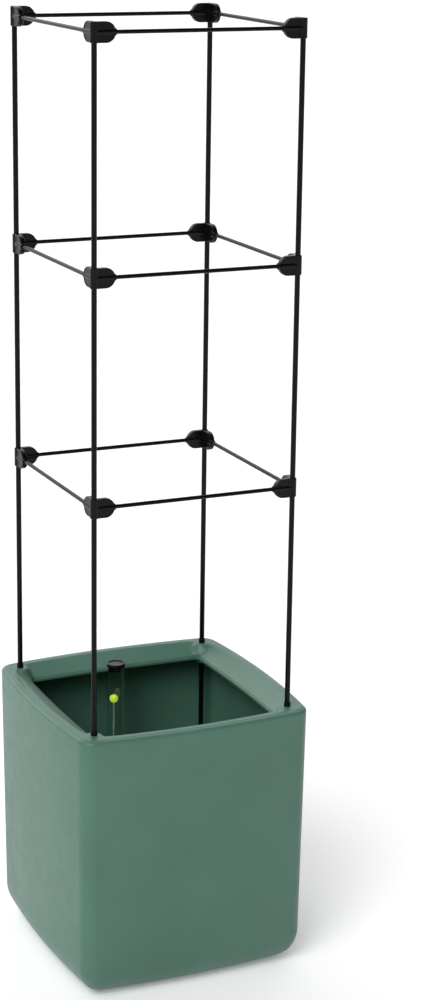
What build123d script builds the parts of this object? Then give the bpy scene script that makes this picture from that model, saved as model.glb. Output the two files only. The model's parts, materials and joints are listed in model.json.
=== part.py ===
"""Garden obelisk: a square self-watering planter that carries a tower trellis of coated steel rods.

Millimetres. The origin is the centre of the planter's base, on the ground. +Z is up, -Y is the front and
+X is the right. Each separate piece is written to its own STEP file.
"""
from build123d import *
import math
import os

# ---- Driving dimensions --------------------------------------------------------------------------

# Planter shell: a square in plan whose sides bow outwards (the crown), a little more at the rim than at
# the foot, and whose corners are round.
PLANTER_HEIGHT = 395.0
RIM_HALF_WIDTH = 183.7
SIDE_FOOT_HALF_WIDTH = 178.0
RIM_CROWN = 13.0
FOOT_CROWN = 9.5
CORNER_RADIUS = 24.5
FOOT_ROUNDING_HEIGHT = 50.0
FOOT_ROUNDING_INSET = 44.0
FOOT_CORNER_RADIUS = 12.0
FOOT_STEPS = 8
WALL = 4.0

# Rim: a tight outer edge, a narrow land that rises a little to the crest, then the slope to the mouth.
RIM_EDGE_RADIUS = 5.5
RIM_EDGE_STEPS = 6
RIM_LAND = 10.5
RIM_LAND_RISE = 0.8

# Mouth: the rim slopes down and inwards to a smaller square opening.
MOUTH_HALF_WIDTH = 139.0
MOUTH_CROWN = 3.7
MOUTH_CORNER_RADIUS = 6.0
MOUTH_DEPTH = 18.0
LIP_THICKNESS = 4.5
RIM_ROOT_DEPTH = 6.0

# Trellis.
ROD_SPACING = 296.0
UPRIGHT_RADIUS = 3.75
BAR_RADIUS = 2.75
LOWER_TIER_HEIGHT = 323.5
MIDDLE_TIER_HEIGHT = 311.5
UPPER_TIER_HEIGHT = 315.0
ROD_TIP_CHAMFER = 0.6

# Corner connector.
SLEEVE_RADIUS = 5.5
CONNECTOR_HEIGHT = 27.0
LOBE_THICKNESS = 7.5
LOBE_REACH = 29.0
LOBE_EDGE = 0.8
LOBE_FRAME = 2.2
LOBE_PANEL_DEPTH = 0.5
LOBE_PANEL_START = 7.5
BAR_SOCKET_START = 9.0
BAR_SOCKET_WALL = 1.9
BAR_SOCKET_NOSE = 1.6

# Rim bosses and grommets.
BOSS_TOP_RADIUS = 11.0
BOSS_FOOT_RADIUS = 20.0
BOSS_DEPTH = 30.0
BOSS_PAD_REACH = 7.0
BOSS_PAD_RADIUS = 8.0
GROMMET_RADIUS = 4.4
GROMMET_FLANGE_RADIUS = 4.7
GROMMET_FLANGE_HEIGHT = 6.0
GROMMET_CHAMFER = 0.4

# Reservoir platform, in two halves that meet along the X axis.
PLATFORM_TOP = 100.0
PLATFORM_THICKNESS = 3.0
PLATFORM_GAP = 1.5
SEAM_HALF_GAP = 0.25
SOCKET_RADIUS = 6.5
SOCKET_TOP = 112.0
SOCKET_FOOT = 90.0
SOCKET_FLOOR = 4.0
LEG_RADIUS = 7.0
LEG_X = 98.0
LEG_NEAR_Y = 24.0
LEG_FAR_Y = 112.0
DRAIN_HOLE_RADIUS = 3.5
DRAIN_HOLE_PITCH = 28.0
DRAIN_HOLE_ROWS = 5

# Wicking basket.
BASKET_X = 62.0
BASKET_Y = 66.0
BASKET_TOP_RADIUS = 38.0
BASKET_FOOT_RADIUS = 32.0
BASKET_WALL = 2.2
BASKET_FLANGE = 4.0
BASKET_FLANGE_THICKNESS = 2.0
BASKET_FOOT_GAP = 6.0
BASKET_SLOTS = 12
BASKET_SLOT_WIDTH = 3.5
BASKET_SLOT_HEIGHT = 50.0

# Water gauge, in the back half of the platform.
GAUGE_X = -7.0
GAUGE_Y = 118.0
GAUGE_TOP = 392.8
GAUGE_TUBE_RADIUS = 13.0
GAUGE_TUBE_WALL = 1.3
GAUGE_COLLAR_WALL = 2.5
GAUGE_COLLAR_HEIGHT = 16.0
GAUGE_NOTCH_WIDTH = 6.0
GAUGE_NOTCH_HEIGHT = 12.0
CAP_RADIUS = 13.8
CAP_HEIGHT = 5.0
CAP_RECESS = 1.2
CAP_RIM = 2.2
CAP_SPIGOT_DEPTH = 6.5
CAP_SPIGOT_WALL = 1.6
FLOAT_OFFSET_X = -2.6
FLOAT_OFFSET_Y = 1.0
BALL_RADIUS = 6.4
BALL_HEIGHT = 336.0
STEM_RADIUS = 1.4
STEM_SEAT = 3.0
FLOAT_RADIUS = 8.6
FLOAT_HEIGHT = 32.0
FLOAT_REST_GAP = 0.3

# Drain plug, low on the back.
DRAIN_PLUG_HEIGHT = 84.0
DRAIN_PLUG_RADIUS = 7.0
DRAIN_PLUG_HEAD_RADIUS = 11.0
DRAIN_PLUG_HEAD = 3.2
DRAIN_PLUG_TAIL = 6.0

# Small edge breaks.
FINE_CHAMFER = 0.8
SOFT_CHAMFER = 1.4

# Fits.
RUNNING_CLEARANCE = 0.05
SLIDING_CLEARANCE = 0.1
LOOSE_CLEARANCE = 0.3

# ---- Worked out from the driving dimensions ------------------------------------------------------

ROD_OFFSET = ROD_SPACING / 2
LOW_RING_Z = PLANTER_HEIGHT + LOWER_TIER_HEIGHT
MIDDLE_RING_Z = LOW_RING_Z + MIDDLE_TIER_HEIGHT
TOP_RING_Z = MIDDLE_RING_Z + UPPER_TIER_HEIGHT
UPRIGHT_FOOT_Z = SOCKET_FOOT + SOCKET_FLOOR
MOUTH_Z = PLANTER_HEIGHT - MOUTH_DEPTH
RIM_EDGE_Z = PLANTER_HEIGHT - RIM_LAND_RISE - RIM_EDGE_RADIUS
CREST_INSET = RIM_EDGE_RADIUS + RIM_LAND
BOSS_FOOT_Z = PLANTER_HEIGHT - BOSS_DEPTH
GAUGE_BORE_RADIUS = GAUGE_TUBE_RADIUS - GAUGE_TUBE_WALL
CAP_FOOT_Z = GAUGE_TOP - CAP_HEIGHT
FLOAT_X = GAUGE_X + FLOAT_OFFSET_X
FLOAT_Y = GAUGE_Y + FLOAT_OFFSET_Y
BODY_GAP = LOOSE_CLEARANCE / 2

CORNERS = {
    "front_left": (-1, -1),
    "front_right": (1, -1),
    "back_right": (1, 1),
    "back_left": (-1, 1),
}
SIDE_ANGLES = {"front": 0, "right": 90, "back": 180, "left": 270}
TIERS = {
    "lower": (UPRIGHT_FOOT_Z + BODY_GAP, LOW_RING_Z - BODY_GAP),
    "middle": (LOW_RING_Z + BODY_GAP, MIDDLE_RING_Z - BODY_GAP),
    "upper": (MIDDLE_RING_Z + BODY_GAP, TOP_RING_Z + CONNECTOR_HEIGHT / 2),
}
RINGS = {"low": LOW_RING_Z, "middle": MIDDLE_RING_Z, "top": TOP_RING_Z}


# ---- Shared shapes -------------------------------------------------------------------------------

def cylinder(radius, low, high, x=0.0, y=0.0):
    """An upright cylinder between two heights."""
    return Pos(x, y, low) * Cylinder(radius, high - low, align=(Align.CENTER, Align.CENTER, Align.MIN))


def cone(low_radius, high_radius, low, high, x=0.0, y=0.0):
    """An upright cone frustum between two heights."""
    align = (Align.CENTER, Align.CENTER, Align.MIN)
    return Pos(x, y, low) * Cone(low_radius, high_radius, high - low, align=align)


def crowned_square(half_width, crown, corner_radius, z):
    """A flat face at height z: a square whose sides are arcs that bow out, joined by round corners."""
    side_radius = (half_width**2 + crown**2) / (2 * crown)
    side_centre = half_width - side_radius
    # The corner arc's centre (q, q) lies side_radius - corner_radius from each side arc's centre.
    reach = side_radius - corner_radius
    q = (side_centre + math.sqrt(2 * reach**2 - side_centre**2)) / 2
    tangent_angle = math.atan2(q, q - side_centre)
    near = side_radius * math.sin(tangent_angle)
    far = side_centre + side_radius * math.cos(tangent_angle)
    corner_middle = q + corner_radius * math.sqrt(0.5)
    side = ThreePointArc((far, -near), (half_width, 0), (far, near))
    corner = ThreePointArc((far, near), (corner_middle, corner_middle), (near, far))
    edges = [Rot(0, 0, 90 * quarter) * edge for quarter in range(4) for edge in (side, corner)]
    return Pos(0, 0, z) * Face(Wire(edges))


def climb(z):
    """How far up the straight part of the wall a height is: 0 at the foot's rounding, 1 at the rim."""
    return (z - FOOT_ROUNDING_HEIGHT) / (PLANTER_HEIGHT - FOOT_ROUNDING_HEIGHT)


def side_half_width(z):
    """Half the planter's outer width at a height above the foot's rounding."""
    return SIDE_FOOT_HALF_WIDTH + (RIM_HALF_WIDTH - SIDE_FOOT_HALF_WIDTH) * climb(z)


def side_crown(z):
    """How far each side bows outwards at a height above the foot's rounding."""
    return FOOT_CROWN + (RIM_CROWN - FOOT_CROWN) * climb(z)


# ---- Planter shell -------------------------------------------------------------------------------

def foot_sections(offset):
    """The rounded foot's sections, from the ground up, set in from the outer face by offset."""
    sections = []
    for step in range(FOOT_STEPS + 1):
        turn = math.pi / 2 * (1 - step / FOOT_STEPS)
        inset = (FOOT_ROUNDING_INSET - offset) * (1 - math.cos(turn)) + offset
        z = offset + (FOOT_ROUNDING_HEIGHT - offset) * (1 - math.sin(turn))
        corner = max(CORNER_RADIUS - inset, FOOT_CORNER_RADIUS)
        sections.append(crowned_square(SIDE_FOOT_HALF_WIDTH - inset, FOOT_CROWN, corner, z))
    return sections


def wall_section(z, inset):
    """The outline of the straight part of the wall at a height, set in from the outer face."""
    return crowned_square(side_half_width(z) - inset, side_crown(z), CORNER_RADIUS - inset, z)


def wall_body(offset, top):
    """The solid inside the planter's outer face (or its inner face, with an offset), up to top."""
    foot = loft(foot_sections(offset), ruled=True)
    walls = [wall_section(FOOT_ROUNDING_HEIGHT, offset), wall_section(top, offset)]
    return foot + loft(walls, ruled=True)


def crest():
    """The outline of the rim's highest line."""
    half_width = side_half_width(RIM_EDGE_Z) - CREST_INSET
    return crowned_square(half_width, side_crown(RIM_EDGE_Z), CORNER_RADIUS - CREST_INSET, PLANTER_HEIGHT)


def outer_body():
    """The planter's outside: foot, sides, the rim's rounded outer edge and its land up to the crest."""
    half_width = side_half_width(RIM_EDGE_Z)
    crown = side_crown(RIM_EDGE_Z)
    rim = []
    for step in range(RIM_EDGE_STEPS + 1):
        turn = math.pi / 2 * step / RIM_EDGE_STEPS
        inset = RIM_EDGE_RADIUS * (1 - math.cos(turn))
        z = RIM_EDGE_Z + RIM_EDGE_RADIUS * math.sin(turn)
        rim.append(crowned_square(half_width - inset, crown, CORNER_RADIUS - inset, z))
    rim.append(crest())
    return wall_body(0.0, RIM_EDGE_Z) + loft(rim, ruled=True)


def cavity():
    """The hollow inside: walls and floor, and a roof that falls from the walls to the mouth's lip."""
    roof_z = PLANTER_HEIGHT - RIM_ROOT_DEPTH
    lip_z = MOUTH_Z - LIP_THICKNESS
    return wall_body(WALL, lip_z) + rim_roof(roof_z, lip_z)


def rim_roof(roof_z, lip_z):
    """The part of the hollow above the lip's level, under the sloping rim."""
    block = extrude(wall_section(lip_z, WALL), roof_z - lip_z)
    inner = crowned_square(MOUTH_HALF_WIDTH, MOUTH_CROWN, MOUTH_CORNER_RADIUS, lip_z)
    outer = crowned_square(side_half_width(lip_z) - WALL, side_crown(lip_z), CORNER_RADIUS - WALL, roof_z)
    return block - loft([inner, outer], ruled=True)


def mouth():
    """What the mouth and the sloping top of the rim take away."""
    throat_z = MOUTH_Z - LIP_THICKNESS - WALL
    throat_outline = crowned_square(MOUTH_HALF_WIDTH, MOUTH_CROWN, MOUTH_CORNER_RADIUS, throat_z)
    throat = extrude(throat_outline, MOUTH_Z - throat_z)
    low = crowned_square(MOUTH_HALF_WIDTH, MOUTH_CROWN, MOUTH_CORNER_RADIUS, MOUTH_Z)
    return throat + loft([low, crest()], ruled=True) + extrude(crest(), WALL)


def rim_boss(x, y):
    """A boss that carries one upright through the rim: it flares inwards and runs out to the crest."""
    post = cylinder(BOSS_TOP_RADIUS, BOSS_FOOT_Z, PLANTER_HEIGHT, x, y)
    flare = cone(BOSS_FOOT_RADIUS, BOSS_TOP_RADIUS, MOUTH_Z, PLANTER_HEIGHT, x, y)
    outwards = math.degrees(math.atan2(y, x))
    slot = Pos(BOSS_PAD_REACH / 2, 0) * SlotCenterToCenter(BOSS_PAD_REACH, 2 * BOSS_PAD_RADIUS)
    pad = Pos(x, y, MOUTH_Z) * Rot(0, 0, outwards) * extrude(slot, MOUTH_DEPTH)
    return post + flare + pad


def planter_shell():
    """The moulded shell with its rim bosses, their bores and the drain hole."""
    outside = outer_body()
    shell = outside - cavity() - mouth()
    for x, y in rod_places():
        shell += rim_boss(x, y) & outside
    for x, y in rod_places():
        shell -= cylinder(GROMMET_RADIUS, BOSS_FOOT_Z - WALL, PLANTER_HEIGHT + WALL, x, y)
    plug_hole = facing_back(DRAIN_PLUG_RADIUS, -3 * WALL, WALL)
    return shell - plug_hole


def rod_places():
    """Where the four uprights stand."""
    return [(sx * ROD_OFFSET, sy * ROD_OFFSET) for sx, sy in CORNERS.values()]


# ---- Reservoir platform and wicking baskets ------------------------------------------------------

def platform_blank():
    """Both halves of the platform as one plate, with the sockets for the uprights' feet."""
    under = PLATFORM_TOP - PLATFORM_THICKNESS
    half_width = side_half_width(under) - WALL - PLATFORM_GAP
    corner = CORNER_RADIUS - WALL - PLATFORM_GAP
    outline = crowned_square(half_width, side_crown(under), corner, under)
    blank = extrude(outline, PLATFORM_THICKNESS)
    for x, y in rod_places():
        blank += cylinder(SOCKET_RADIUS, SOCKET_FOOT, SOCKET_TOP, x, y)
        blank -= cylinder(UPRIGHT_RADIUS + SLIDING_CLEARANCE, UPRIGHT_FOOT_Z, SOCKET_TOP, x, y)
    return blank


def drain_holes(basket_x, basket_y):
    """A grid of small holes through the back half's plate, clear of its basket, legs and gauge."""
    rows = [DRAIN_HOLE_PITCH * (row + 0.5) for row in range(DRAIN_HOLE_ROWS)]
    columns = [DRAIN_HOLE_PITCH * column for column in range(-DRAIN_HOLE_ROWS, DRAIN_HOLE_ROWS + 1)]
    keep_outs = [(basket_x, basket_y, BASKET_TOP_RADIUS + BASKET_FLANGE)]
    keep_outs += [(sx * LEG_X, y, LEG_RADIUS) for sx in (-1, 1) for y in (LEG_NEAR_Y, LEG_FAR_Y)]
    keep_outs.append((GAUGE_X, GAUGE_Y, GAUGE_TUBE_RADIUS + GAUGE_COLLAR_WALL))
    holes = []
    for x in columns:
        for y in rows:
            gaps = [math.dist((x, y), (kx, ky)) - radius for kx, ky, radius in keep_outs]
            if min(gaps) > 2 * DRAIN_HOLE_RADIUS:
                holes.append((x, y))
    return holes


def platform_half(blank, basket_x):
    """The back half of the platform: plate, legs, drain holes and the seat of its basket."""
    size = 2 * RIM_HALF_WIDTH
    half_space = Pos(0, SEAM_HALF_GAP + size / 2, PLATFORM_TOP) * Box(size, size, size)
    half = blank & half_space
    under = PLATFORM_TOP - PLATFORM_THICKNESS
    for x in (-LEG_X, LEG_X):
        for y in (LEG_NEAR_Y, LEG_FAR_Y):
            half += cylinder(LEG_RADIUS, WALL, under, x, y)
    half -= cylinder(BASKET_TOP_RADIUS + LOOSE_CLEARANCE, 0, PLATFORM_TOP, basket_x, BASKET_Y)
    for x, y in drain_holes(basket_x, BASKET_Y):
        half -= cylinder(DRAIN_HOLE_RADIUS, under, PLATFORM_TOP, x, y)
    return half


def platform_back(blank):
    """The back half also has the collar that holds the gauge tube upright."""
    half = platform_half(blank, BASKET_X)
    collar_top = PLATFORM_TOP + GAUGE_COLLAR_HEIGHT
    half += cylinder(GAUGE_TUBE_RADIUS + GAUGE_COLLAR_WALL, PLATFORM_TOP, collar_top, GAUGE_X, GAUGE_Y)
    return half - cylinder(GAUGE_TUBE_RADIUS + SLIDING_CLEARANCE, 0, collar_top, GAUGE_X, GAUGE_Y)


def platform_front(blank):
    """The front half is the back half turned half a turn, without the gauge's collar."""
    return Rot(0, 0, 180) * platform_half(blank, BASKET_X)


def wick_basket(x, y):
    """A tapered basket with a flange, a slotted wall and a closed foot: soil in it draws up the water."""
    foot = WALL + BASKET_FOOT_GAP
    rim = PLATFORM_TOP + BASKET_FLANGE_THICKNESS
    basket = cone(BASKET_FOOT_RADIUS, BASKET_TOP_RADIUS, foot, PLATFORM_TOP, x, y)
    basket += cylinder(BASKET_TOP_RADIUS + BASKET_FLANGE, PLATFORM_TOP, rim, x, y)
    floor = foot + BASKET_WALL
    basket -= cone(BASKET_FOOT_RADIUS - BASKET_WALL, BASKET_TOP_RADIUS - BASKET_WALL, floor, rim, x, y)
    slot = Pos(BASKET_TOP_RADIUS, 0, (foot + PLATFORM_TOP) / 2)
    slot *= Box(BASKET_TOP_RADIUS, BASKET_SLOT_WIDTH, BASKET_SLOT_HEIGHT)
    for number in range(BASKET_SLOTS):
        basket -= Pos(x, y, 0) * Rot(0, 0, 360 * number / BASKET_SLOTS) * slot
    return basket


# ---- Water gauge and drain plug ------------------------------------------------------------------

def gauge_tube():
    """A clear tube from the planter's floor to the cap, notched at its foot to let the water in."""
    tube = cylinder(GAUGE_TUBE_RADIUS, WALL, CAP_FOOT_Z) - cylinder(GAUGE_BORE_RADIUS, WALL, CAP_FOOT_Z)
    notch = Pos(0, 0, WALL) * Box(3 * GAUGE_TUBE_RADIUS, GAUGE_NOTCH_WIDTH, 2 * GAUGE_NOTCH_HEIGHT)
    return Pos(GAUGE_X, GAUGE_Y, 0) * (tube - notch)


def gauge_cap():
    """A push-in cap: a disc with a raised rim over a short hollow spigot."""
    cap = cylinder(CAP_RADIUS, CAP_FOOT_Z, GAUGE_TOP)
    cap = chamfer(cap.edges().group_by(Axis.Z)[-1], FINE_CHAMFER)
    cap -= cylinder(CAP_RADIUS - CAP_RIM, GAUGE_TOP - CAP_RECESS, GAUGE_TOP)
    spigot_radius = GAUGE_BORE_RADIUS - SLIDING_CLEARANCE
    cap += cylinder(spigot_radius, CAP_FOOT_Z - CAP_SPIGOT_DEPTH, CAP_FOOT_Z)
    cap -= cylinder(spigot_radius - CAP_SPIGOT_WALL, CAP_FOOT_Z - CAP_SPIGOT_DEPTH, CAP_FOOT_Z + CAP_RIM)
    return Pos(GAUGE_X, GAUGE_Y, BODY_GAP) * cap


def float_top():
    """The height of the float's top face when the reservoir is empty."""
    return WALL + FLOAT_REST_GAP + FLOAT_HEIGHT


def gauge_stem():
    """The thin rod between the float and the ball, seated a little way into each."""
    low = float_top() - STEM_SEAT
    high = BALL_HEIGHT - BALL_RADIUS + STEM_SEAT
    return cylinder(STEM_RADIUS, low, high, FLOAT_X, FLOAT_Y)


def gauge_ball():
    """The bright ball that shows the water's level."""
    return Pos(FLOAT_X, FLOAT_Y, BALL_HEIGHT) * Sphere(BALL_RADIUS) - gauge_stem()


def gauge_float():
    """A closed-cell foam float at the foot of the stem."""
    top = float_top()
    body = cylinder(FLOAT_RADIUS, top - FLOAT_HEIGHT, top, FLOAT_X, FLOAT_Y)
    body = chamfer(body.edges().filter_by(GeomType.CIRCLE), SOFT_CHAMFER)
    return body - gauge_stem()


def facing_back(radius, inner, outer):
    """A cylinder along Y at the drain hole, between two distances out from the back wall's face."""
    wall = side_half_width(DRAIN_PLUG_HEIGHT)
    length = outer - inner
    return Pos(0, wall + (inner + outer) / 2, DRAIN_PLUG_HEIGHT) * Rot(90, 0, 0) * Cylinder(radius, length)


def drain_plug():
    """A push-in plug: a domed head outside the wall and a shank through it."""
    head = facing_back(DRAIN_PLUG_HEAD_RADIUS, LOOSE_CLEARANCE, DRAIN_PLUG_HEAD)
    head = chamfer(head.edges().filter_by(GeomType.CIRCLE).sort_by(Axis.Y)[-1], SOFT_CHAMFER)
    shank = facing_back(DRAIN_PLUG_RADIUS - RUNNING_CLEARANCE, -WALL - DRAIN_PLUG_TAIL, LOOSE_CLEARANCE)
    shank = chamfer(shank.edges().filter_by(GeomType.CIRCLE).sort_by(Axis.Y)[0], SOFT_CHAMFER)
    return head + shank


# ---- Trellis -------------------------------------------------------------------------------------

def grommet(x, y):
    """A sleeve lining one rim boss, with a low collar on top."""
    flange_top = PLANTER_HEIGHT + GROMMET_FLANGE_HEIGHT
    collar = cylinder(GROMMET_FLANGE_RADIUS, PLANTER_HEIGHT, flange_top)
    collar = chamfer(collar.edges().group_by(Axis.Z)[-1], GROMMET_CHAMFER)
    sleeve = cylinder(GROMMET_RADIUS, BOSS_FOOT_Z, PLANTER_HEIGHT)
    bore = cylinder(UPRIGHT_RADIUS + SLIDING_CLEARANCE, 0, flange_top)
    return Pos(x, y, 0) * (collar + sleeve - bore)


def upright(x, y, low, high):
    """One length of round rod with chamfered tips."""
    rod = cylinder(UPRIGHT_RADIUS, low, high, x, y)
    return chamfer(rod.edges().filter_by(GeomType.CIRCLE), ROD_TIP_CHAMFER)


def bar(side, z):
    """A cross bar of one ring, from socket to socket; side is the angle round from the front."""
    length = ROD_SPACING - 2 * BAR_SOCKET_START
    front = Pos(0, -ROD_OFFSET, z) * Rot(0, 90, 0) * Cylinder(BAR_RADIUS, length)
    return Rot(0, 0, SIDE_ANGLES[side]) * front


def lobe_profile(margin):
    """The D shape of a lobe in the XZ plane, set in from its outline by margin."""
    half_height = CONNECTOR_HEIGHT / 2
    round_start = LOBE_REACH - half_height
    profile = Pos(round_start / 2, 0) * Rectangle(round_start, CONNECTOR_HEIGHT - 2 * margin)
    profile += Pos(round_start, 0) * Circle(half_height - margin)
    return Rot(90, 0, 0) * profile


def lobe():
    """A D-shaped plate along +X, its faces sunk inside a frame, with a round socket for the bar."""
    plate = extrude(lobe_profile(0), LOBE_THICKNESS / 2, both=True)
    rim = plate.edges().filter_by(lambda edge: edge.center().X > SLEEVE_RADIUS)
    plate = chamfer(rim.filter_by(lambda edge: abs(edge.center().Y) > LOBE_THICKNESS / 4), LOBE_EDGE)
    panel = extrude(lobe_profile(LOBE_FRAME), LOBE_THICKNESS, both=True)
    web = Box(2 * LOBE_REACH, LOBE_THICKNESS - 2 * LOBE_PANEL_DEPTH, CONNECTOR_HEIGHT)
    root = Box(2 * LOBE_PANEL_START, LOBE_THICKNESS, CONNECTOR_HEIGHT)
    plate -= panel - web - root
    length = LOBE_REACH + BAR_SOCKET_NOSE
    socket = Pos(length / 2, 0, 0) * Rot(0, 90, 0) * Cylinder(BAR_RADIUS + BAR_SOCKET_WALL, length)
    nose = socket.edges().filter_by(GeomType.CIRCLE).sort_by(Axis.X)[-1]
    return plate + chamfer(nose, LOBE_EDGE)


def connector():
    """The corner connector, for the front left corner: its lobes point along +X and +Y."""
    half_height = CONNECTOR_HEIGHT / 2
    body = cylinder(SLEEVE_RADIUS, -half_height, half_height)
    body = chamfer(body.edges().filter_by(GeomType.CIRCLE), LOBE_EDGE)
    for turn in (0, 90):
        body += Rot(0, 0, turn) * lobe()
    for turn in (0, 90):
        bore = Pos(BAR_SOCKET_START + LOBE_REACH / 2, 0, 0) * Rot(0, 90, 0)
        bore *= Cylinder(BAR_RADIUS + RUNNING_CLEARANCE, LOBE_REACH)
        body -= Rot(0, 0, turn) * bore
    return body - cylinder(UPRIGHT_RADIUS + RUNNING_CLEARANCE, -half_height, half_height)


def placed_connector(shape, corner, z):
    """Turn the connector so that its lobes point at the two neighbouring corners, and place it."""
    x, y = (sign * ROD_OFFSET for sign in CORNERS[corner])
    turn = 90 * list(CORNERS).index(corner)
    return Pos(x, y, z) * Rot(0, 0, turn) * shape


# ---- Export --------------------------------------------------------------------------------------

def all_parts():
    """Every node's name and shape."""
    parts = {"planter_shell": planter_shell()}
    blank = platform_blank()
    parts["platform_front"] = platform_front(blank)
    parts["platform_back"] = platform_back(blank)
    parts["wick_basket_front"] = wick_basket(-BASKET_X, -BASKET_Y)
    parts["wick_basket_back"] = wick_basket(BASKET_X, BASKET_Y)
    parts["gauge_tube"] = gauge_tube()
    parts["gauge_cap"] = gauge_cap()
    parts["gauge_ball"] = gauge_ball()
    parts["gauge_stem"] = gauge_stem()
    parts["gauge_float"] = gauge_float()
    parts["drain_plug"] = drain_plug()
    corner_connector = connector()
    for corner, (sx, sy) in CORNERS.items():
        x = sx * ROD_OFFSET
        y = sy * ROD_OFFSET
        parts[f"grommet_{corner}"] = grommet(x, y)
        for tier, (low, high) in TIERS.items():
            parts[f"upright_{tier}_{corner}"] = upright(x, y, low, high)
        for ring, z in RINGS.items():
            parts[f"connector_{ring}_{corner}"] = placed_connector(corner_connector, corner, z)
    for ring, z in RINGS.items():
        for side in SIDE_ANGLES:
            parts[f"bar_{ring}_{side}"] = bar(side, z)
    return parts


os.makedirs("parts", exist_ok=True)
for name, shape in all_parts().items():
    shape.label = name
    export_step(shape, f"parts/{name}.step")
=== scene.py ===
"""The looks of the garden obelisk: a green self-watering planter with a black rod trellis.

Metres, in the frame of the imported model: the origin is the centre of the planter's base, +Z is up and -Y
is the front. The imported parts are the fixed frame. This script gives them their finish, replaces the
planter's shell with a finer mesh of the same shape, and adds the floor, the light and the camera.
"""
import json
import math

import bmesh
import bpy
from mathutils import Matrix, Vector


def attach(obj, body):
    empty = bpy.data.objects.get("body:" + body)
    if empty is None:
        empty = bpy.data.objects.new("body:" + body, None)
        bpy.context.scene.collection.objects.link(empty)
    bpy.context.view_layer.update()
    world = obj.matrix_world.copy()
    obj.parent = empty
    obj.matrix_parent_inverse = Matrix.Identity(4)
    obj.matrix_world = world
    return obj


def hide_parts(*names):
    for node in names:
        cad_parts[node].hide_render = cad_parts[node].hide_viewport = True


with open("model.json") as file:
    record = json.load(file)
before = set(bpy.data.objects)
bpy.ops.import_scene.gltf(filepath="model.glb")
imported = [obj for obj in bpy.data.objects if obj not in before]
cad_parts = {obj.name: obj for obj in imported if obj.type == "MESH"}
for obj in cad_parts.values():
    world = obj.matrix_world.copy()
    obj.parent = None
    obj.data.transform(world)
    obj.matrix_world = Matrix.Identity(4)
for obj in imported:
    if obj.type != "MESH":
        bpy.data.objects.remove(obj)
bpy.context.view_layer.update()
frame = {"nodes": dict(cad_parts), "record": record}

nodes = frame["nodes"]
MM = 0.001

# ---- Camera ----------------------------------------------------------------------------------------

CAMERA_PLACE = Vector((-1.2535, -2.9229, 1.5740))
CAMERA_YAW = math.radians(24.770)
CAMERA_PITCH = math.radians(15.742)
CAMERA_ROLL = math.radians(-0.830)
CAMERA_LENS_MM = 83.56
CAMERA_SENSOR_MM = 36.0
CAMERA_REACH = 200.0


def add_camera():
    """A long lens from the front left, looking a little down."""
    forward = Vector((math.sin(CAMERA_YAW) * math.cos(CAMERA_PITCH),
                      math.cos(CAMERA_YAW) * math.cos(CAMERA_PITCH),
                      -math.sin(CAMERA_PITCH)))
    level_right = Vector((math.cos(CAMERA_YAW), -math.sin(CAMERA_YAW), 0.0))
    right = Matrix.Rotation(CAMERA_ROLL, 3, forward) @ level_right
    up = right.cross(forward)
    turn = Matrix((right, up, -forward)).transposed().to_4x4()
    data = bpy.data.cameras.new("camera")
    data.lens = CAMERA_LENS_MM
    data.sensor_width = CAMERA_SENSOR_MM
    data.clip_end = CAMERA_REACH
    camera = bpy.data.objects.new("camera", data)
    camera.matrix_world = Matrix.Translation(CAMERA_PLACE) @ turn
    bpy.context.scene.collection.objects.link(camera)
    bpy.context.scene.camera = camera


# ---- Floor and light -------------------------------------------------------------------------------

# Each panel's azimuth from +X and height in degrees, its radiance at its centre, and how tight it is.
PANELS = {
    "key": (221.0, 45.0, 9.5, 22.0),
    "backdrop": (110.0, 30.0, 2.9, 12.0),
    "ceiling": (45.0, 52.0, 1.6, 12.0),
    "horizon": (62.0, 5.0, 1.2, 10.0),
}
FLOOR_SIZE = 240.0
FLOOR_GREY = 0.9
FLOOR_ROUGHNESS = 0.9
FLOOR_SPECULAR = 0.1
FLOOR_GLOW = 0.19


def math_node(tree, operation, first, second=0.0):
    """One maths node; each input is a number or another node's output."""
    node = tree.nodes.new("ShaderNodeMath")
    node.operation = operation
    for place, value in enumerate((first, second)):
        if isinstance(value, float):
            node.inputs[place].default_value = value
        else:
            tree.links.new(value, node.inputs[place])
    return node.outputs[0]


def panel_light(tree, direction, azimuth, height, radiance, tightness):
    """The light of one large soft panel: full at its centre and fading evenly round it."""
    azimuth = math.radians(azimuth)
    height = math.radians(height)
    facing = tree.nodes.new("ShaderNodeVectorMath")
    facing.operation = "DOT_PRODUCT"
    facing.inputs[1].default_value = (math.cos(azimuth) * math.cos(height),
                                      math.sin(azimuth) * math.cos(height), math.sin(height))
    tree.links.new(direction, facing.inputs[0])
    away = math_node(tree, "SUBTRACT", facing.outputs["Value"], 1.0)
    fade = math_node(tree, "EXPONENT", math_node(tree, "MULTIPLY", away, tightness))
    return math_node(tree, "MULTIPLY", fade, radiance)


def add_world():
    """A dark studio lit by large soft panels."""
    world = bpy.data.worlds.new("studio")
    world.use_nodes = True
    tree = world.node_tree
    direction = tree.nodes.new("ShaderNodeTexCoord").outputs["Generated"]
    total = 0.0
    for panel in PANELS.values():
        total = math_node(tree, "ADD", panel_light(tree, direction, *panel), total)
    background = tree.nodes["Background"]
    background.inputs["Color"].default_value = (1.0, 1.0, 1.0, 1.0)
    tree.links.new(total, background.inputs["Strength"])
    bpy.context.scene.world = world


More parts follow.
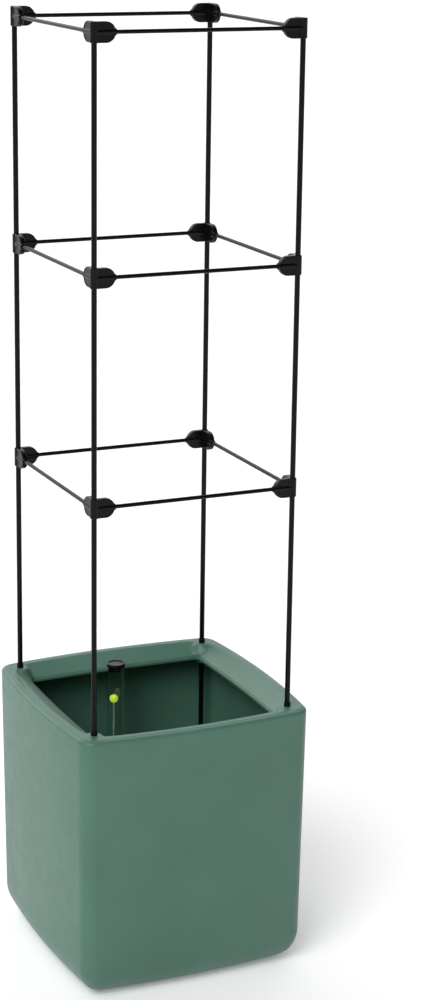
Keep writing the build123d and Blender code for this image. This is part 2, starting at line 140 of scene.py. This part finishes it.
def add_floor():
    """A plain pale floor that also glows a little, which keeps the shadow on it pale."""
    mesh = bpy.data.meshes.new("floor")
    half = FLOOR_SIZE / 2
    corners = [(-half, -half, 0), (half, -half, 0), (half, half, 0), (-half, half, 0)]
    mesh.from_pydata(corners, [], [(0, 1, 2, 3)])
    floor = bpy.data.objects.new("floor", mesh)
    bpy.context.scene.collection.objects.link(floor)
    material, shader, _ = new_material("floor", (FLOOR_GREY,) * 3, FLOOR_ROUGHNESS, FLOOR_SPECULAR)
    shader.inputs["Emission Color"].default_value = (1.0, 1.0, 1.0, 1.0)
    shader.inputs["Emission Strength"].default_value = FLOOR_GLOW
    mesh.materials.append(material)


# ---- Materials -------------------------------------------------------------------------------------

# Grain sizes and bump depths are in metres, and colours are linear.
NOISE_MIDDLE = (0.3, 0.7)
EVEN = (1.0, 1.0, 1.0)
GRAIN_DETAIL = 2.0
PATCH_DETAIL = 3.0
SMUDGE_DETAIL = 4.0


def new_material(name, colour, roughness, specular=0.5):
    """A principled material with its uniform values set on the shader; returns it, shader and tree."""
    material = bpy.data.materials.new(name)
    material.use_nodes = True
    shader = material.node_tree.nodes["Principled BSDF"]
    shader.inputs["Base Color"].default_value = (*colour, 1.0)
    shader.inputs["Roughness"].default_value = roughness
    shader.inputs["Specular IOR Level"].default_value = specular
    return material, shader, material.node_tree


def noise(tree, grain, detail, stretch=EVEN):
    """A noise from 0 to 1, its grain stretched along each axis."""
    place = tree.nodes.new("ShaderNodeTexCoord")
    mapping = tree.nodes.new("ShaderNodeMapping")
    mapping.inputs["Scale"].default_value = [1.0 / (grain * factor) for factor in stretch]
    texture = tree.nodes.new("ShaderNodeTexNoise")
    texture.inputs["Scale"].default_value = 1.0
    texture.inputs["Detail"].default_value = detail
    tree.links.new(place.outputs["Object"], mapping.inputs["Vector"])
    tree.links.new(mapping.outputs["Vector"], texture.inputs["Vector"])
    return texture.outputs["Fac"]


def spread(tree, value, low, high):
    """Map the middle of a noise to a range."""
    node = tree.nodes.new("ShaderNodeMapRange")
    node.inputs["From Min"].default_value = NOISE_MIDDLE[0]
    node.inputs["From Max"].default_value = NOISE_MIDDLE[1]
    node.inputs["To Min"].default_value = low
    node.inputs["To Max"].default_value = high
    tree.links.new(value, node.inputs["Value"])
    return node.outputs["Result"]


def blend_colours(tree, value, low, high):
    """Colour from low to high as value goes from 0 to 1."""
    mix = tree.nodes.new("ShaderNodeMix")
    mix.data_type = "RGBA"
    mix.inputs["A"].default_value = (*low, 1.0)
    mix.inputs["B"].default_value = (*high, 1.0)
    tree.links.new(value, mix.inputs["Factor"])
    return mix.outputs["Result"]


def bump(tree, shader, value, depth, strength=1.0, after=None):
    """Raise the surface by value times depth, on top of an earlier bump if there is one."""
    node = tree.nodes.new("ShaderNodeBump")
    node.inputs["Distance"].default_value = depth
    node.inputs["Strength"].default_value = strength
    tree.links.new(value, node.inputs["Height"])
    if after:
        tree.links.new(after, node.inputs["Normal"])
    tree.links.new(node.outputs["Normal"], shader.inputs["Normal"])
    return node.outputs["Normal"]


def scaled(colour, factor):
    """A lighter or darker version of a colour."""
    return tuple(channel * factor for channel in colour)


def vary_colour(tree, shader, pattern, colour, darkest, lightest):
    """Let a noise take the base colour from a darker to a lighter version of itself."""
    share = spread(tree, pattern, 0.0, 1.0)
    blend = blend_colours(tree, share, scaled(colour, darkest), scaled(colour, lightest))
    tree.links.new(blend, shader.inputs["Base Color"])


def vary_roughness(tree, shader, pattern, smoothest, roughest):
    """Let a noise take the roughness through a range."""
    tree.links.new(spread(tree, pattern, smoothest, roughest), shader.inputs["Roughness"])


PLANTER_GREEN = (0.065, 0.163, 0.119)
PLANTER_ROUGHNESS = 0.42
PLANTER_SPECULAR = 0.45
CLOUD_SIZE = 0.09
SMUDGE_SIZE = 0.02
WAVE_SIZE = 0.035
WAVE_DEPTH = 0.0003
RESIN_GRAIN = 0.0012
RESIN_GRAIN_DEPTH = 0.00004


def planter_material():
    """Satin moulded resin: faint cloudy colour, a fine grain and soft unevenness."""
    material, shader, tree = new_material("planter_green", PLANTER_GREEN, PLANTER_ROUGHNESS,
                                          PLANTER_SPECULAR)
    clouds = noise(tree, CLOUD_SIZE, PATCH_DETAIL)
    vary_colour(tree, shader, clouds, PLANTER_GREEN, darkest=0.95, lightest=1.05)
    smudges = noise(tree, SMUDGE_SIZE, SMUDGE_DETAIL)
    vary_roughness(tree, shader, smudges, smoothest=0.38, roughest=0.46)
    wave = bump(tree, shader, noise(tree, WAVE_SIZE, GRAIN_DETAIL), WAVE_DEPTH)
    bump(tree, shader, noise(tree, RESIN_GRAIN, GRAIN_DETAIL), RESIN_GRAIN_DEPTH, after=wave)
    return material


# Each black finish's shade, roughness, specular level, grain, bump depth and stretch of the grain.
BLACK_FINISHES = {
    "reservoir_black": (0.022, 0.5, 0.4, 0.0009, 0.00004, EVEN),
    "rod_black": (0.002, 0.24, 0.14, 0.0007, 0.00001, (1.0, 1.0, 3.0)),
    "connector_black": (0.003, 0.28, 0.16, 0.0006, 0.00002, EVEN),
    "grommet_rubber": (0.003, 0.5, 0.14, 0.0008, 0.00003, EVEN),
    "cap_black": (0.007, 0.35, 0.3, 0.0008, 0.00003, EVEN),
    "plug_rubber": (0.008, 0.65, 0.3, 0.001, 0.00004, EVEN),
}
COLOUR_PATCH_GRAINS = 12
ROUGH_PATCH_GRAINS = 6


def black_material(name, shade, roughness, specular, grain, depth, stretch):
    """A black moulded or coated finish: a fine grain, with patches many grains wide."""
    black = (shade,) * 3
    material, shader, tree = new_material(name, black, roughness, specular)
    colour_patches = noise(tree, COLOUR_PATCH_GRAINS * grain, PATCH_DETAIL, stretch)
    vary_colour(tree, shader, colour_patches, black, darkest=0.8, lightest=1.25)
    rough_patches = noise(tree, ROUGH_PATCH_GRAINS * grain, PATCH_DETAIL, stretch)
    vary_roughness(tree, shader, rough_patches, smoothest=0.85 * roughness, roughest=1.15 * roughness)
    bump(tree, shader, noise(tree, grain, GRAIN_DETAIL, stretch), depth)
    return material


CLEAR_TINT = (0.93, 0.97, 0.95)
CLEAR_ROUGHNESS = 0.04
ACRYLIC_IOR = 1.49
SCRATCH_SIZE = 0.0015
SCRATCH_STRETCH = (1.0, 1.0, 12.0)
RIPPLE_SIZE = 0.006
RIPPLE_DEPTH = 0.00002


def tube_material():
    """Clear acrylic with the faintest haze and scratches."""
    material, shader, tree = new_material("gauge_clear", CLEAR_TINT, CLEAR_ROUGHNESS)
    shader.inputs["Transmission Weight"].default_value = 1.0
    shader.inputs["IOR"].default_value = ACRYLIC_IOR
    scratches = noise(tree, SCRATCH_SIZE, PATCH_DETAIL, SCRATCH_STRETCH)
    vary_roughness(tree, shader, scratches, smoothest=0.03, roughest=0.1)
    bump(tree, shader, noise(tree, RIPPLE_SIZE, GRAIN_DETAIL), RIPPLE_DEPTH)
    return material


BALL_YELLOW = (0.70, 0.95, 0.07)
BALL_ROUGHNESS = 0.22
BALL_PAINTED_GLOW = 0.45
SWIRL_SIZE = 0.004
BALL_GRAIN = 0.002
BALL_GRAIN_DEPTH = 0.00002


def ball_material():
    """Bright fluorescent-yellow plastic, glossy, with a trace of moulding swirl, and a painted glow: it
    gives off light of its own colour, which makes it brighter than its lighting would.
    """
    material, shader, tree = new_material("ball_yellow", BALL_YELLOW, BALL_ROUGHNESS)
    swirl = noise(tree, SWIRL_SIZE, PATCH_DETAIL)
    vary_colour(tree, shader, swirl, BALL_YELLOW, darkest=0.92, lightest=1.0)
    # Painted glow: the ball gives off light of its own colour, though it is no lamp.
    shader.inputs["Emission Color"].default_value = (*BALL_YELLOW, 1.0)
    shader.inputs["Emission Strength"].default_value = BALL_PAINTED_GLOW
    bump(tree, shader, noise(tree, BALL_GRAIN, GRAIN_DETAIL), BALL_GRAIN_DEPTH)
    return material


STEM_PALE = (0.45, 0.62, 0.54)
STEM_ROUGHNESS = 0.4
STREAK_SIZE = 0.0008
STEM_GRAIN = 0.0006
STEM_GRAIN_DEPTH = 0.00002
LENGTHWISE = (1.0, 1.0, 30.0)


def stem_material():
    """A pale drawn rod with a faint lengthwise grain."""
    material, shader, tree = new_material("stem_pale", STEM_PALE, STEM_ROUGHNESS)
    streaks = noise(tree, STREAK_SIZE, PATCH_DETAIL, LENGTHWISE)
    vary_colour(tree, shader, streaks, STEM_PALE, darkest=0.85, lightest=1.1)
    bump(tree, shader, noise(tree, STEM_GRAIN, GRAIN_DETAIL, LENGTHWISE), STEM_GRAIN_DEPTH)
    return material


FOAM_WHITE = (0.78, 0.78, 0.74)
FOAM_ROUGHNESS = 0.85
FOAM_SPECULAR = 0.2
FOAM_PATCH_SIZE = 0.008
FOAM_CELL = 0.0015
FOAM_CELL_DEPTH = 0.0003


def foam_material():
    """Closed-cell foam: small round cells."""
    material, shader, tree = new_material("float_foam", FOAM_WHITE, FOAM_ROUGHNESS, FOAM_SPECULAR)
    place = tree.nodes.new("ShaderNodeTexCoord")
    cells = tree.nodes.new("ShaderNodeTexVoronoi")
    cells.inputs["Scale"].default_value = 1.0 / FOAM_CELL
    tree.links.new(place.outputs["Object"], cells.inputs["Vector"])
    tint = noise(tree, FOAM_PATCH_SIZE, PATCH_DETAIL)
    vary_colour(tree, shader, tint, FOAM_WHITE, darkest=0.92, lightest=1.0)
    bump(tree, shader, cells.outputs["Distance"], FOAM_CELL_DEPTH, strength=0.7)
    return material


# ---- Planter shell ---------------------------------------------------------------------------------

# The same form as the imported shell, in millimetres, with its edges softened. First the wall and the foot.
HEIGHT = 395.0
RIM_HALF_WIDTH = 183.7
FOOT_HALF_WIDTH = 178.0
RIM_CROWN = 13.0
FOOT_CROWN = 9.5
CORNER_RADIUS = 24.5
FOOT_HEIGHT = 50.0  # how far up the foot's rounding goes
FOOT_INSET = 44.0  # and how far in under the shell
FOOT_CORNER_RADIUS = 12.0
WALL = 4.0
# The rim: a rounded edge, a nearly flat land, a crest, and a slope down to the mouth's ledge and lip.
EDGE_RADIUS = 5.5
LAND = 10.5
LAND_RISE = 0.8  # a low step up on the land, in from the rounded edge
LAND_SHELF = 1.2  # how far in it starts
LAND_STEP = 2.0  # and how wide it is
MOUTH_HALF_WIDTH = 139.0
MOUTH_CROWN = 3.7
MOUTH_CORNER_RADIUS = 6.0
MOUTH_DEPTH = 18.0  # how far the slope falls from the crest to the ledge
LIP = 4.5
LIP_ROUNDING = 0.8
LIP_LEDGE = 2.6
LIP_LEDGE_STEP = 0.9
ROOF_DEPTH = 6.0  # from the rim's top to its underside, at the wall
CREST_SOFTNESS = 0.22
# The boss round each upright, which runs out towards the corner of the rim, and the holes.
ROD_OFFSET = 148.0
BOSS_RADIUS = 11.0
BOSS_FOOT_RADIUS = 20.0  # where its flank is as low as the mouth
BOSS_PAD_REACH = 7.0
BOSS_PAD_RADIUS = 8.0
BOSS_DEPTH = 30.0
BOSS_ROUNDING = 1.6
BOSS_FILLET = 3.0
BOSS_REACH = 16.0  # beyond this the rim is plain
POST_CLEARANCE = 2.0
BORE_RADIUS = 4.4
DRAIN_HEIGHT = 84.0
DRAIN_RADIUS = 7.0
DRAIN_CUT = 24.0
# How finely each stretch of the mesh is divided, and how much of a side's spacing is even or crowded.
SIDE_STEPS = 56
CORNER_STEPS = 28
EDGE_STEPS = 8
LAND_STEPS = 14
BAND_STEPS = 26
LEDGE_STEPS = 6
LIP_STEPS = 4
ROOF_STEPS = 6
FOOT_STEPS = 24
WALL_STEPS = 8
CYLINDER_SIDES = 48
EVEN_SPACING = 0.45
CROWDED_SPACING = 0.55
# Edges of the shell that turn by more than this are shaded sharp.
SHELL_SHARP_ANGLE = math.radians(32)
# How far a unit step along a diagonal goes along each axis.
DIAGONAL = math.sqrt(0.5)


def climb(z):
    """How far up the straight part of the wall a height is: 0 at the foot's rounding, 1 at the rim."""
    return (z - FOOT_HEIGHT) / (HEIGHT - FOOT_HEIGHT)


def side_half_width(z):
    """Half the shell's width at a height, to the middle of a bowed side."""
    return FOOT_HALF_WIDTH + (RIM_HALF_WIDTH - FOOT_HALF_WIDTH) * climb(z)


def side_crown(z):
    """How far a side bows out at a height."""
    return FOOT_CROWN + (RIM_CROWN - FOOT_CROWN) * climb(z)


def outline(half_width, crown, corner_radius):
    """Points round a square with bowed sides and round corners, closer together near the corners."""
    side_radius = (half_width**2 + crown**2) / (2 * crown)
    side_centre = half_width - side_radius
    reach = side_radius - corner_radius
    corner_centre = (side_centre + math.sqrt(2 * reach**2 - side_centre**2)) / 2
    tangent = math.atan2(corner_centre, corner_centre - side_centre)
    points = []
    for quarter in range(4):
        turn = math.pi / 2 * quarter
        arc = []
        for step in range(SIDE_STEPS):
            even = 2 * step / SIDE_STEPS - 1
            crowded = math.sin(math.pi * (step / SIDE_STEPS - 0.5))
            angle = tangent * (EVEN_SPACING * even + CROWDED_SPACING * crowded)
            arc.append((side_centre + side_radius * math.cos(angle), side_radius * math.sin(angle)))
        sweep = math.pi / 2 - 2 * tangent
        for step in range(CORNER_STEPS):
            angle = tangent + sweep * step / CORNER_STEPS
            arc.append((corner_centre + corner_radius * math.cos(angle),
                        corner_centre + corner_radius * math.sin(angle)))
        for x, y in arc:
            points.append((x * math.cos(turn) - y * math.sin(turn),
                           x * math.sin(turn) + y * math.cos(turn)))
    return points


def between(first, second, share):
    """The outline a share of the way from one outline to another."""
    return [(a[0] + (b[0] - a[0]) * share, a[1] + (b[1] - a[1]) * share) for a, b in zip(first, second)]


def softer(first, second, softness, sign):
    """The larger (sign 1) or smaller (sign -1) of two heights, with the change between them rounded."""
    return (first + second) / 2 + sign * math.hypot((first - second) / 2, softness)


def boss_height(x, y, ground):
    """The height of the rim's top at a point, with the boss round the nearest upright added."""
    along_x = abs(x) - ROD_OFFSET
    along_y = abs(y) - ROD_OFFSET
    outwards = max(0.0, min(BOSS_PAD_REACH, (along_x + along_y) * DIAGONAL))
    from_pad = math.hypot(along_x - outwards * DIAGONAL, along_y - outwards * DIAGONAL)
    beyond = min(math.hypot(along_x, along_y) - BOSS_RADIUS, from_pad - BOSS_PAD_RADIUS)
    if beyond > BOSS_REACH:
        return ground
    flank = HEIGHT - MOUTH_DEPTH / (BOSS_FOOT_RADIUS - BOSS_RADIUS) * beyond
    top = softer(HEIGHT, flank, BOSS_ROUNDING, -1)
    return min(softer(ground, top, BOSS_FILLET, 1), max(HEIGHT, ground))


def lifted(points, z):
    """A flat ring of points at one height."""
    return [(x, y, z) for x, y in points]


def foot_rings(inset, low, steps):
    """The rounded foot from its flat underside up, for the outside (inset 0) or the inside."""
    rings = []
    for step in range(steps):
        turn = math.pi / 2 * (1 - step / steps)
        depth = (FOOT_INSET - inset) * (1 - math.cos(turn)) + inset
        z = low + (FOOT_HEIGHT - low) * (1 - math.sin(turn))
        corner = max(CORNER_RADIUS - depth, FOOT_CORNER_RADIUS)
        rings.append(lifted(outline(FOOT_HALF_WIDTH - depth, FOOT_CROWN, corner), z))
    return rings


def wall_rings(inset, top, steps):
    """The straight wall from the foot's rounding up to a height."""
    rings = []
    for step in range(steps + 1):
        z = FOOT_HEIGHT + (top - FOOT_HEIGHT) * step / steps
        rings.append(lifted(outline(side_half_width(z) - inset, side_crown(z), CORNER_RADIUS - inset), z))
    return rings


def eased(share):
    """Smooth change from 0 to 1."""
    share = min(1.0, max(0.0, share))
    return share * share * (3 - 2 * share)


def rim_rings():
    """The rim from its outer edge over the land and the crest, and down the slope to the lip's ledge."""
    edge_z = HEIGHT - LAND_RISE - EDGE_RADIUS
    width = side_half_width(edge_z)
    crown = side_crown(edge_z)
    rings = []
    for step in range(1, EDGE_STEPS + 1):
        turn = math.pi / 2 * step / EDGE_STEPS
        inset = EDGE_RADIUS * (1 - math.cos(turn))
        z = edge_z + EDGE_RADIUS * math.sin(turn)
        rings.append(lifted(outline(width - inset, crown, CORNER_RADIUS - inset), z))
    crest_width = width - EDGE_RADIUS - LAND
    crest_corner = CORNER_RADIUS - EDGE_RADIUS - LAND
    band = crest_width - MOUTH_HALF_WIDTH
    slope = MOUTH_DEPTH / band
    for step in range(1, LAND_STEPS):
        in_from_edge = LAND * step / LAND_STEPS
        back = LAND - in_from_edge
        land = HEIGHT - LAND_RISE * (1 - eased((in_from_edge - LAND_SHELF) / LAND_STEP))
        ground = softer(land, HEIGHT + slope * back, CREST_SOFTNESS, -1)
        points = outline(crest_width + back, crown, crest_corner + back)
        rings.append([(x, y, boss_height(x, y, ground)) for x, y in points])
    crest = outline(crest_width, crown, crest_corner)
    mouth = outline(MOUTH_HALF_WIDTH, MOUTH_CROWN, MOUTH_CORNER_RADIUS)
    ledge_share = 1 - LIP_LEDGE / band
    for step in range(BAND_STEPS + 1):
        share = ledge_share * step / BAND_STEPS
        ground = softer(HEIGHT, HEIGHT - MOUTH_DEPTH * share, CREST_SOFTNESS, -1)
        rings.append([(x, y, boss_height(x, y, ground)) for x, y in between(crest, mouth, share)])
    for step in range(1, LEDGE_STEPS):
        along = (LIP_LEDGE - LIP_ROUNDING) * step / LEDGE_STEPS
        share = ledge_share + along / band
        drop = (LIP_LEDGE - along) * slope * eased(along / LIP_LEDGE_STEP)
        rings.append([(x, y, boss_height(x, y, HEIGHT - MOUTH_DEPTH * share) - drop)
                      for x, y in between(crest, mouth, share)])
    return rings


def lip_rings():
    """The lip: its rounded top edge, upright face and rounded lower edge."""
    rings = []
    top_z = HEIGHT - MOUTH_DEPTH - LIP_ROUNDING
    low_z = HEIGHT - MOUTH_DEPTH - LIP + LIP_ROUNDING
    for centre_z, start in ((top_z, 0.0), (low_z, math.pi / 2)):
        for step in range(LIP_STEPS + 1):
            turn = start + math.pi / 2 * step / LIP_STEPS
            out = LIP_ROUNDING * (1 - math.sin(turn))
            points = outline(MOUTH_HALF_WIDTH + out, MOUTH_CROWN, MOUTH_CORNER_RADIUS + out)
            rings.append(lifted(points, centre_z + LIP_ROUNDING * math.cos(turn)))
    return rings


def roof_rings():
    """The rim's underside, from the lip out to the wall."""
    low_z = HEIGHT - MOUTH_DEPTH - LIP
    high_z = HEIGHT - ROOF_DEPTH
    inner = outline(MOUTH_HALF_WIDTH + LIP_ROUNDING, MOUTH_CROWN, MOUTH_CORNER_RADIUS + LIP_ROUNDING)
    outer = outline(side_half_width(high_z) - WALL, side_crown(high_z), CORNER_RADIUS - WALL)
    rings = []
    for step in range(1, ROOF_STEPS):
        share = step / ROOF_STEPS
        rings.append(lifted(between(inner, outer, share), low_z + (high_z - low_z) * share))
    return rings


def rings_to_mesh(name, rings):
    """Quads between neighbouring rings of points, closed by a face on the first and the last ring."""
    count = len(rings[0])
    vertices = [(x * MM, y * MM, z * MM) for ring in rings for x, y, z in ring]
    faces = []
    for row in range(len(rings) - 1):
        for place in range(count):
            after = (place + 1) % count
            faces.append((row * count + place, row * count + after,
                          (row + 1) * count + after, (row + 1) * count + place))
    faces.append(tuple(reversed(range(count))))
    faces.append(tuple((len(rings) - 1) * count + place for place in range(count)))
    mesh = bpy.data.meshes.new(name)
    mesh.from_pydata(vertices, [], faces)
    mesh.validate()
    return mesh


def cylinders_mesh(name, cylinders):
    """One mesh of closed cylinders, each given by its radius and length in millimetres and its place."""
    shape = bmesh.new()
    for radius, length, place in cylinders:
        bmesh.ops.create_cone(shape, cap_ends=True, segments=CYLINDER_SIDES, radius1=radius * MM,
                              radius2=radius * MM, depth=length * MM, matrix=place)
    mesh = bpy.data.meshes.new(name)
    shape.to_mesh(mesh)
    shape.free()
    return mesh


def upright_place(x, y, z):
    """The placing matrix of an upright cylinder, from its middle in millimetres."""
    return Matrix.Translation((x * MM, y * MM, z * MM))


def rod_places():
    """The middle of each of the four uprights."""
    return [(sx * ROD_OFFSET, sy * ROD_OFFSET) for sx in (-1, 1) for sy in (-1, 1)]


def cut(piece, tool_mesh, operation):
    """Join or take away a tool mesh, and apply it."""
    tool = bpy.data.objects.new("tool", tool_mesh)
    bpy.context.scene.collection.objects.link(tool)
    modifier = piece.modifiers.new("cut", "BOOLEAN")
    modifier.operation = operation
    modifier.solver = "EXACT"
    modifier.object = tool
    graph = bpy.context.evaluated_depsgraph_get()
    result = bpy.data.meshes.new_from_object(piece.evaluated_get(graph))
    piece.modifiers.clear()
    piece.data = result
    bpy.data.objects.remove(tool)


def planter_shell():
    """The whole shell as one closed mesh, outside and inside, with bosses, bores and the drain hole."""
    rings = foot_rings(0.0, 0.0, FOOT_STEPS)
    rings += wall_rings(0.0, HEIGHT - LAND_RISE - EDGE_RADIUS, WALL_STEPS)
    rings += rim_rings() + lip_rings() + roof_rings()
    rings += reversed(wall_rings(WALL, HEIGHT - ROOF_DEPTH, WALL_STEPS))
    rings += reversed(foot_rings(WALL, WALL, FOOT_STEPS))
    shell = bpy.data.objects.new("planter_body", rings_to_mesh("planter_body", rings))
    bpy.context.scene.collection.objects.link(shell)
    post_length = BOSS_DEPTH - BOSS_ROUNDING - POST_CLEARANCE
    post_z = HEIGHT - BOSS_DEPTH + post_length / 2
    posts = [(BOSS_RADIUS, post_length, upright_place(x, y, post_z)) for x, y in rod_places()]
    cut(shell, cylinders_mesh("posts", posts), "UNION")
    bore_z = HEIGHT - BOSS_DEPTH / 2
    holes = [(BORE_RADIUS, 2 * BOSS_DEPTH, upright_place(x, y, bore_z)) for x, y in rod_places()]
    drain = Matrix.Translation((0, side_half_width(DRAIN_HEIGHT) * MM, DRAIN_HEIGHT * MM))
    holes.append((DRAIN_RADIUS, DRAIN_CUT, drain @ Matrix.Rotation(math.pi / 2, 4, "X")))
    cut(shell, cylinders_mesh("holes", holes), "DIFFERENCE")
    shell.data.shade_smooth()
    shell.data.set_sharp_from_angle(angle=SHELL_SHARP_ANGLE)
    shell.data.materials.clear()
    shell.data.materials.append(planter_material())
    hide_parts("planter_shell")
    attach(shell, "planter")


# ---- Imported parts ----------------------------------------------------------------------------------

# The round on the sharp edges of each material's parts, in millimetres; the others have none.
EDGE_ROUNDS = {
    "reservoir_black": 0.3,
    "connector_black": 0.25,
    "grommet_rubber": 0.15,
    "cap_black": 0.25,
    "float_foam": 0.3,
    "plug_rubber": 0.3,
}
EDGE_ROUND_STEPS = 2
EDGE_ANGLE = math.radians(30)
WELD_DISTANCE = 0.000002


def finish_node(node, material, edge_round):
    """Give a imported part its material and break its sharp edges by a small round."""
    node.data.materials.clear()
    node.data.materials.append(material)
    node.data.shade_smooth()
    weld = node.modifiers.new("weld", "WELD")
    weld.merge_threshold = WELD_DISTANCE
    if edge_round:
        bevel = node.modifiers.new("edge", "BEVEL")
        bevel.width = edge_round * MM
        bevel.segments = EDGE_ROUND_STEPS
        bevel.limit_method = "ANGLE"
        bevel.angle_limit = EDGE_ANGLE
    normals = node.modifiers.new("normals", "WEIGHTED_NORMAL")
    normals.keep_sharp = True


def finish_nodes():
    """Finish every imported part; the planter's shell is replaced, so its material isn't in this list."""
    materials = {slot: black_material(slot, *finish) for slot, finish in BLACK_FINISHES.items()}
    materials["gauge_clear"] = tube_material()
    materials["ball_yellow"] = ball_material()
    materials["stem_pale"] = stem_material()
    materials["float_foam"] = foam_material()
    for part in frame["record"]["subparts"]:
        slot = part["material_slot"]
        if slot in materials:
            finish_node(nodes[part["node"]], materials[slot], EDGE_ROUNDS.get(slot, 0.0))


add_camera()
add_world()
add_floor()
bpy.context.scene.view_settings.view_transform = "Standard"
planter_shell()
finish_nodes()
